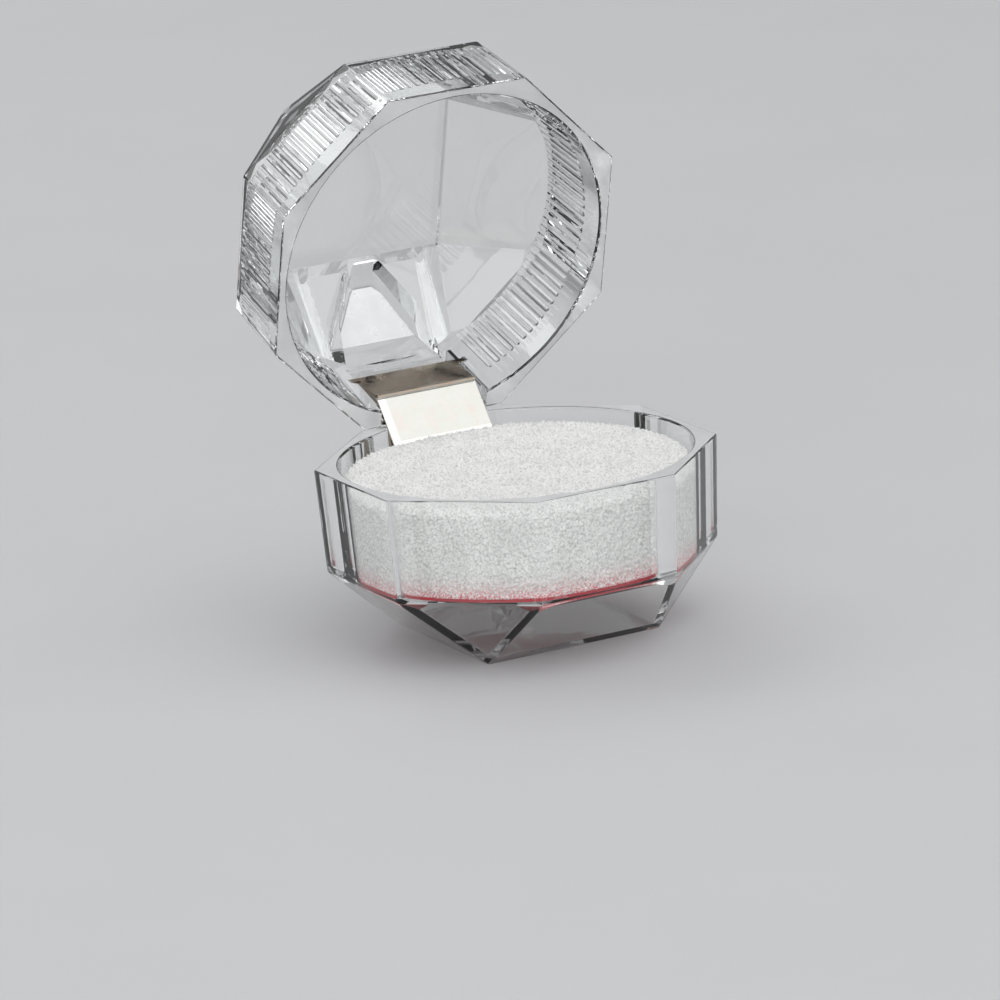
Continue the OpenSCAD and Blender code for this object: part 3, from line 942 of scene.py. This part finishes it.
# Each lamp's name, place and size in metres, and power in watts. All point at the aim
LAMPS = (
    ("key_light", (0.40, -0.44, 0.68), (1.2, 1.2), 4.6),
    ("side_light", (-0.50, -0.60, 0.30), (0.6, 0.5), 2.0),
    ("back_light", (-0.15, 0.60, 0.55), (0.8, 0.35), 1.7),
    ("glint_light", (-0.35, -0.50, 0.75), (0.05, 0.05), 0.12),
)
LAMP_AIM = (0, 0.004, 0.025)
# Heights in the surroundings, where the horizon is 0 and straight up is 1, and the colours there
SURROUNDINGS = ((0.0, (0.27, 0.27, 0.275)), (0.6, (0.46, 0.465, 0.475)))


def add_lamp(name, place, size, power):
    lamp = bpy.data.lights.new(name, "AREA")
    lamp.shape = "RECTANGLE"
    lamp.size, lamp.size_y = size
    lamp.energy = power
    item = bpy.data.objects.new(name, lamp)
    item.location = place
    item.rotation_euler = (Vector(LAMP_AIM) - Vector(place)).to_track_quat("-Z", "Y").to_euler()
    bpy.context.scene.collection.objects.link(item)


class RINGBOX_OT_studio(bpy.types.Operator):
    """Sets up the camera, the floor, the lamps and the pale surroundings"""

    bl_idname = "ringbox.studio"
    bl_label = "Studio"

    def execute(self, context):
        settings = context.scene.ringbox_studio
        self.place_camera(settings)
        self.lay_floor(settings)
        for lamp in LAMPS:
            add_lamp(*lamp)
        self.surround(context.scene)
        context.scene.view_settings.view_transform = "Standard"
        return {"FINISHED"}

    @staticmethod
    def place_camera(settings):
        pan = [shift * MM for shift in CAMERA_PAN]
        target = Vector((0, 0, CAMERA_TARGET_Z * MM))
        az, el = settings.azimuth, settings.elevation
        back = Vector((math.sin(az) * math.cos(el), -math.cos(az) * math.cos(el), math.sin(el)))
        right = Vector((math.cos(az), math.sin(az), 0))
        up = back.cross(right)
        c, s = math.cos(settings.roll), math.sin(settings.roll)
        right, up = right * c + up * s, up * c - right * s
        camera = bpy.data.cameras.new("camera")
        camera.sensor_width = SENSOR_W
        camera.lens = settings.focal_px / PICTURE_SIDE * SENSOR_W
        camera.clip_start, camera.clip_end = 0.01, 20
        item = bpy.data.objects.new("camera", camera)
        turn = Matrix((right, up, back)).transposed().to_4x4()
        place = target + back * settings.distance + right * pan[0] + up * pan[1]
        item.matrix_world = Matrix.Translation(place) @ turn
        bpy.context.scene.collection.objects.link(item)
        bpy.context.scene.camera = item

    @staticmethod
    def lay_floor(settings):
        bm = bmesh.new()
        bmesh.ops.create_circle(bm, cap_ends=True, segments=96, radius=FLOOR_RADIUS)
        mesh = bpy.data.meshes.new("floor")
        bm.to_mesh(mesh)
        bm.free()
        floor = bpy.data.objects.new("floor", mesh)
        bpy.context.scene.collection.objects.link(floor)
        f = Finish("floor_paint")
        cloud = f.band(f.grain(30 * MM, 3.0), 0.0, 1.0)
        tone = f.blend(cloud, rgba(settings.floor_colour), toned(settings.floor_colour, FLOOR_SHADE))
        f.shader(tone, Roughness=0.6, Normal=f.relief(f.grain(0.8 * MM, 3.0), 0.02 * MM, 0.2))
        mesh.materials.append(f.material)

    @staticmethod
    def surround(scene):
        world = bpy.data.worlds.new("studio")
        scene.world = world
        world.use_nodes = True
        tree = world.node_tree
        tree.nodes.clear()
        out = tree.nodes.new("ShaderNodeOutputWorld")
        light = tree.nodes.new("ShaderNodeBackground")
        place = tree.nodes.new("ShaderNodeTexCoord")
        split = tree.nodes.new("ShaderNodeSeparateXYZ")
        ramp = tree.nodes.new("ShaderNodeValToRGB")
        tree.links.new(place.outputs["Generated"], split.inputs[0])
        tree.links.new(split.outputs["Z"], ramp.inputs[0])
        for element, (height, tone) in zip(ramp.color_ramp.elements, SURROUNDINGS):
            element.position = height
            element.color = rgba(tone)
        tree.links.new(ramp.outputs["Color"], light.inputs["Color"])
        light.inputs["Strength"].default_value = 1.0
        tree.links.new(light.outputs[0], out.inputs["Surface"])


class RINGBOX_PT_panel(bpy.types.Panel):
    """Lists the steps that build the box"""

    bl_idname = "RINGBOX_PT_panel"
    bl_label = "Ring Box"
    bl_space_type = "VIEW_3D"
    bl_region_type = "UI"
    bl_category = "Ring Box"

    def draw(self, context):
        layout = self.layout
        for step, group in STEPS:
            layout.operator(step.bl_idname)
            settings = getattr(context.scene, group)
            for name in settings.__annotations__:
                layout.prop(settings, name)


STEPS = (
    (RINGBOX_OT_studio, "ringbox_studio"),
    (RINGBOX_OT_clear_shells, "ringbox_shells"),
    (RINGBOX_OT_card, "ringbox_soft"),
    (RINGBOX_OT_foam, "ringbox_soft"),
    (RINGBOX_OT_hinge, "ringbox_hinge"),
)
GROUPS = {
    "ringbox_shells": ShellSettings,
    "ringbox_soft": SoftSettings,
    "ringbox_hinge": HingeSettings,
    "ringbox_studio": StudioSettings,
}
CLASSES = (*GROUPS.values(), *(step for step, _ in STEPS), RINGBOX_PT_panel)


def register():
    for cls in CLASSES:
        bpy.utils.register_class(cls)
    for name, cls in GROUPS.items():
        setattr(bpy.types.Scene, name, bpy.props.PointerProperty(type=cls))


def unregister():
    for name in GROUPS:
        delattr(bpy.types.Scene, name)
    for cls in reversed(CLASSES):
        bpy.utils.unregister_class(cls)


def main():
    register()
    bpy.ops.ringbox.studio()
    bpy.ops.ringbox.clear_shells()
    bpy.ops.ringbox.card()
    bpy.ops.ringbox.foam()
    bpy.ops.ringbox.hinge()


if __name__ == "__main__":
    main()
